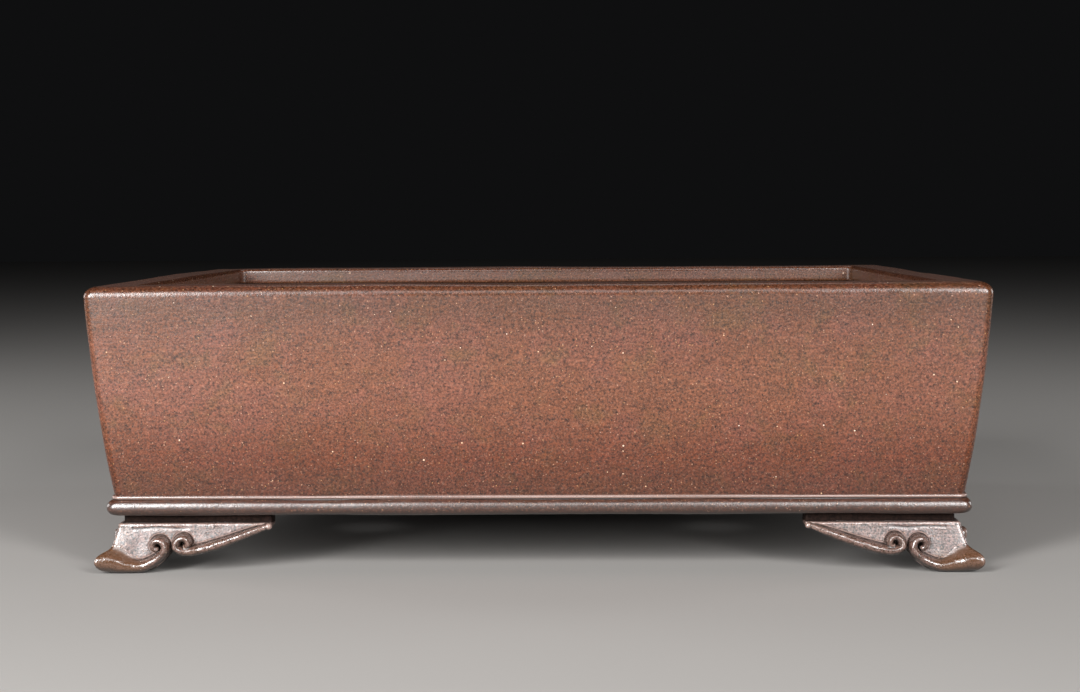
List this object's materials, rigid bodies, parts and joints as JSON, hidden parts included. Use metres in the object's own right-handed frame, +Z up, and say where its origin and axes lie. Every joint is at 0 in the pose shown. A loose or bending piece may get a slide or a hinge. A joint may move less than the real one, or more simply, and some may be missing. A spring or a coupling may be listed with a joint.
{
  "type": "bonsai pot",
  "caption": "Rectangular slab-built bonsai pot in unglazed purple-brown clay, with an inward rim, a banded base and cloud-scroll corner feet.",
  "frame": {"origin": "on the ground, under the middle of the pot", "axes": "+X along the pot's length, to the right as its front is faced; the front faces -Y; +Z up"},
  "size_m": [0.4, 0.28, 0.129],
  "materials": {
    "purple_clay": "satin unglazed stoneware, fine tan grog",
    "rim_clay": "the same clay, burnished smooth",
    "foot_clay": "the same clay, tooled and slightly coarser",
    "burnished_roll_clay": "the same clay, darker where it is burnished"
  },
  "bodies": {
    "root": {"base_slab": "purple_clay", "wall_front": "purple_clay", "wall_back": "purple_clay", "wall_left": "purple_clay", "wall_right": "purple_clay", "rim_front": "rim_clay", "rim_back": "rim_clay", "rim_left": "rim_clay", "rim_right": "rim_clay", "band_front": "rim_clay", "band_back": "rim_clay", "band_left": "rim_clay", "band_right": "rim_clay", "base_coil_front": "purple_clay", "base_coil_back": "purple_clay", "base_coil_left": "purple_clay", "base_coil_right": "purple_clay", "corner_coil_front_left": "purple_clay", "corner_coil_front_right": "purple_clay", "corner_coil_back_left": "purple_clay", "corner_coil_back_right": "purple_clay", "foot_front_left_long_plate": "foot_clay", "foot_front_left_long_toe_roll": "burnished_roll_clay", "foot_front_left_long_wing_roll": "burnished_roll_clay", "foot_front_left_short_plate": "foot_clay", "foot_front_left_short_toe_roll": "burnished_roll_clay", "foot_front_left_short_wing_roll": "burnished_roll_clay", "foot_front_right_long_plate": "foot_clay", "foot_front_right_long_toe_roll": "burnished_roll_clay", "foot_front_right_long_wing_roll": "burnished_roll_clay", "foot_front_right_short_plate": "foot_clay", "foot_front_right_short_toe_roll": "burnished_roll_clay", "foot_front_right_short_wing_roll": "burnished_roll_clay", "foot_back_left_long_plate": "foot_clay", "foot_back_left_long_toe_roll": "burnished_roll_clay", "foot_back_left_long_wing_roll": "burnished_roll_clay", "foot_back_left_short_plate": "foot_clay", "foot_back_left_short_toe_roll": "burnished_roll_clay", "foot_back_left_short_wing_roll": "burnished_roll_clay", "foot_back_right_long_plate": "foot_clay", "foot_back_right_long_toe_roll": "burnished_roll_clay", "foot_back_right_long_wing_roll": "burnished_roll_clay", "foot_back_right_short_plate": "foot_clay", "foot_back_right_short_toe_roll": "burnished_roll_clay", "foot_back_right_short_wing_roll": "burnished_roll_clay"}
  },
  "joints": []
}
